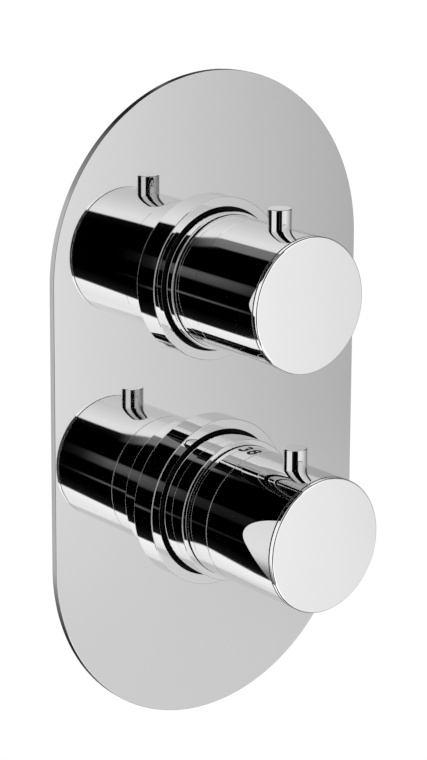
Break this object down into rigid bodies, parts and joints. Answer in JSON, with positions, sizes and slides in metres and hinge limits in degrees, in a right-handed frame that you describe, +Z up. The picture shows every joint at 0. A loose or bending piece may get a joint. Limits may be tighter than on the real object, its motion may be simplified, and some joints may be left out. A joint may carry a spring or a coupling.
{
  "type": "concealed thermostatic shower valve",
  "caption": "Concealed thermostatic shower valve: oval polished plate with two cylinder handles, a peg on each, over a brass body with side inlets and a top outlet.",
  "frame": {"origin": "middle of the faceplate's back face, which lies on the finished wall", "axes": "+X to the right, +Y into the wall, +Z up, as seen by a person who faces the valve"},
  "size_m": [0.14, 0.1174, 0.243],
  "materials": {
    "chrome": "polished chrome plate on brass",
    "brass": "cast and machined brass",
    "turned_brass": "turned brass",
    "black_rubber": "matte moulded rubber",
    "foam": "closed cell foam",
    "fibre": "pressed fibre",
    "white_plastic": "moulded acetal",
    "grey_plastic": "glass-filled moulded plastic",
    "ceramic": "lapped ceramic",
    "copper": "drawn copper",
    "steel": "stainless steel"
  },
  "bodies": {
    "body": {"faceplate": "chrome", "faceplate_gasket": "foam", "flow_body": "brass", "thermostat_body": "brass", "link_pipe": "brass", "hot_check_valve": "white_plastic", "cold_check_valve": "white_plastic", "hot_inlet_filter": "steel", "cold_inlet_filter": "steel", "upper_collar": "chrome", "lower_collar": "chrome", "upper_collar_seal": "black_rubber", "lower_collar_seal": "black_rubber", "upper_sleeve": "chrome", "lower_sleeve": "chrome", "headwork_body": "turned_brass", "headwork_washer": "fibre", "fixed_ceramic_disc": "ceramic", "headwork_lip_seal": "black_rubber", "cartridge_housing": "white_plastic", "cartridge_rings": "black_rubber", "cartridge_nut": "turned_brass", "bearing_washer": "white_plastic", "return_spring": "steel", "temperature_stop": "grey_plastic"},
    "flow_handle": {"flow_spindle": "turned_brass", "moving_ceramic_disc": "ceramic", "upper_handle_hub": "grey_plastic", "upper_handle_screw": "steel", "upper_handle_shell": "chrome", "upper_handle_cap": "chrome", "upper_handle_peg": "chrome"},
    "temperature_handle": {"temperature_spindle": "turned_brass", "lower_handle_hub": "grey_plastic", "lower_handle_screw": "steel", "scale_ring": "chrome", "lower_handle_shell": "chrome", "lower_handle_cap": "chrome", "button_spring": "steel"},
    "thermostat_group": {"regulating_nut": "white_plastic", "overload_spring": "steel", "plunger": "white_plastic", "wax_element": "copper", "shuttle": "grey_plastic"},
    "button": {"release_button": "chrome"}
  },
  "joints": [
    {"name": "upper_handle_turn", "type": "hinge", "parent": "body", "child": "flow_handle", "pos_m": [0, -0.0574, 0.0457], "axis": [0, -1, 0], "range_deg": [0, 90]},
    {"name": "lower_handle_turn", "type": "hinge", "parent": "body", "child": "temperature_handle", "pos_m": [0, -0.0674, -0.0393], "axis": [0, -1, 0], "range_deg": [-225, 0]},
    {"name": "thermostat_slide", "type": "slide", "parent": "body", "child": "thermostat_group", "axis": [0, -1, 0], "range_m": [-0.0019, 0]},
    {"name": "button_press", "type": "slide", "parent": "temperature_handle", "child": "button", "axis": [0, 0, -1], "range_m": [0, 0.002], "stiffness_N_per_m": 1500, "springref_m": -0.001, "deforming": ["button_spring"]}
  ],
  "couplings": [
    {"joint": "thermostat_slide", "follows": "lower_handle_turn", "m_per_rad": 0.00047746}
  ]
}
